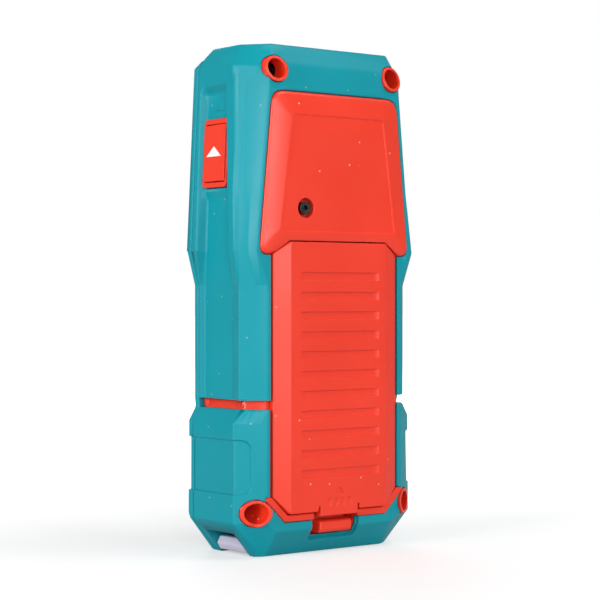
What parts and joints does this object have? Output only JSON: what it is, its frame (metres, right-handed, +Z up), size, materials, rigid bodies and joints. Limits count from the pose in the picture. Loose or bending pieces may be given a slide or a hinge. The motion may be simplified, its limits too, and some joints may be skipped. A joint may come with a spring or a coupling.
{
  "type": "laser distance meter",
  "caption": "Handheld laser distance meter in a soft-skinned hard case, with a raised back panel, a ribbed battery cover, a side button, a display and keys, and a strap bar.",
  "frame": {"origin": "centre of the bottom end, on the surface that the meter stands on", "axes": "+Z up along the case, towards the laser end; -Y is the front, with the display; +Y is the back, with the battery cover; +X is the side with the side button"},
  "size_m": [0.054, 0.027, 0.118],
  "materials": {
    "orange_plastic": "fine spark-eroded grain",
    "teal_skin": "fine matt soft-touch skin",
    "cell_wrap": "shrink sleeve",
    "bright_metal": "bright nickel plate",
    "satin_metal": "satin",
    "black_screw": "black oxide",
    "black_plastic": "fine grain",
    "board_green": "solder mask",
    "dark_window": "polished",
    "display_glass": "polished",
    "backlight": "white diffuser",
    "dark_rubber": "matt silicone",
    "lens_glass": "coated",
    "brass_metal": "turned"
  },
  "bodies": {
    "case": {"rear_housing": "orange_plastic", "upper_overmold": "teal_skin", "lower_overmold": "teal_skin", "front_housing": "teal_skin", "battery_cell_1": "cell_wrap", "battery_spring_1": "bright_metal", "battery_cell_2": "cell_wrap", "battery_spring_2": "bright_metal", "battery_cell_3": "cell_wrap", "battery_spring_3": "bright_metal", "contact_plate_top_left": "bright_metal", "contact_plate_top_right": "bright_metal", "contact_plate_bottom_left": "bright_metal", "contact_plate_bottom_right": "bright_metal", "side_button_frame": "orange_plastic", "side_switch": "black_plastic", "side_switch_board": "board_green", "display_window": "dark_window", "display_panel": "display_glass", "display_backlight": "backlight", "keypad_mat": "dark_rubber", "main_board": "board_green", "board_screw_1": "bright_metal", "board_screw_2": "bright_metal", "processor_chip": "black_plastic", "buzzer": "black_plastic", "optics_block": "black_plastic", "receiver_lens": "lens_glass", "receiver_sensor": "brass_metal", "laser_barrel": "brass_metal", "laser_lens": "lens_glass", "laser_diode": "bright_metal", "aperture_plate": "black_plastic", "strap_bar": "satin_metal", "case_screw_1": "black_screw", "case_screw_2": "black_screw", "case_screw_3": "black_screw", "case_screw_4": "black_screw", "panel_screw": "black_screw"},
    "battery_cover": {"battery_cover": "orange_plastic"},
    "battery_cover_latch": {"battery_cover_latch": "orange_plastic"},
    "side_button": {"side_button": "orange_plastic"},
    "key_area": {"key_area": "dark_rubber"},
    "key_measure": {"key_measure": "orange_plastic"},
    "key_triangle": {"key_triangle": "dark_rubber"},
    "key_plus": {"key_plus": "dark_rubber"},
    "key_timer": {"key_timer": "dark_rubber"},
    "key_minus": {"key_minus": "dark_rubber"},
    "key_power": {"key_power": "dark_rubber"},
    "key_reference": {"key_reference": "dark_rubber"},
    "key_memory": {"key_memory": "dark_rubber"}
  },
  "joints": [
    {"name": "battery_cover_hinge", "type": "hinge", "parent": "case", "child": "battery_cover", "pos_m": [0, 0.0134, 0.0725], "axis": [1, 0, 0], "range_deg": [0, 75]},
    {"name": "battery_latch_slide", "type": "slide", "parent": "battery_cover", "child": "battery_cover_latch", "axis": [0, 0, 1], "range_m": [0, 0.0008], "stiffness_N_per_m": 1500, "springref_m": -0.0005},
    {"name": "side_button_slide", "type": "slide", "parent": "case", "child": "side_button", "axis": [-0.9987, 0, -0.0505], "range_m": [0, 0.0006], "stiffness_N_per_m": 2500, "springref_m": -0.0004},
    {"name": "key_area_slide", "type": "slide", "parent": "case", "child": "key_area", "axis": [0, 1, 0], "range_m": [0, 0.0005], "stiffness_N_per_m": 2500, "springref_m": -0.0004},
    {"name": "key_measure_slide", "type": "slide", "parent": "case", "child": "key_measure", "axis": [0, 1, 0], "range_m": [0, 0.0005], "stiffness_N_per_m": 2500, "springref_m": -0.0004},
    {"name": "key_triangle_slide", "type": "slide", "parent": "case", "child": "key_triangle", "axis": [0, 1, 0], "range_m": [0, 0.0005], "stiffness_N_per_m": 2500, "springref_m": -0.0004},
    {"name": "key_plus_slide", "type": "slide", "parent": "case", "child": "key_plus", "axis": [0, 1, 0], "range_m": [0, 0.0005], "stiffness_N_per_m": 2500, "springref_m": -0.0004},
    {"name": "key_timer_slide", "type": "slide", "parent": "case", "child": "key_timer", "axis": [0, 1, 0], "range_m": [0, 0.0005], "stiffness_N_per_m": 2500, "springref_m": -0.0004},
    {"name": "key_minus_slide", "type": "slide", "parent": "case", "child": "key_minus", "axis": [0, 1, 0], "range_m": [0, 0.0005], "stiffness_N_per_m": 2500, "springref_m": -0.0004},
    {"name": "key_power_slide", "type": "slide", "parent": "case", "child": "key_power", "axis": [0, 1, 0], "range_m": [0, 0.0005], "stiffness_N_per_m": 2500, "springref_m": -0.0004},
    {"name": "key_reference_slide", "type": "slide", "parent": "case", "child": "key_reference", "axis": [0, 1, 0], "range_m": [0, 0.0005], "stiffness_N_per_m": 2500, "springref_m": -0.0004},
    {"name": "key_memory_slide", "type": "slide", "parent": "case", "child": "key_memory", "axis": [0, 1, 0], "range_m": [0, 0.0005], "stiffness_N_per_m": 2500, "springref_m": -0.0004}
  ]
}
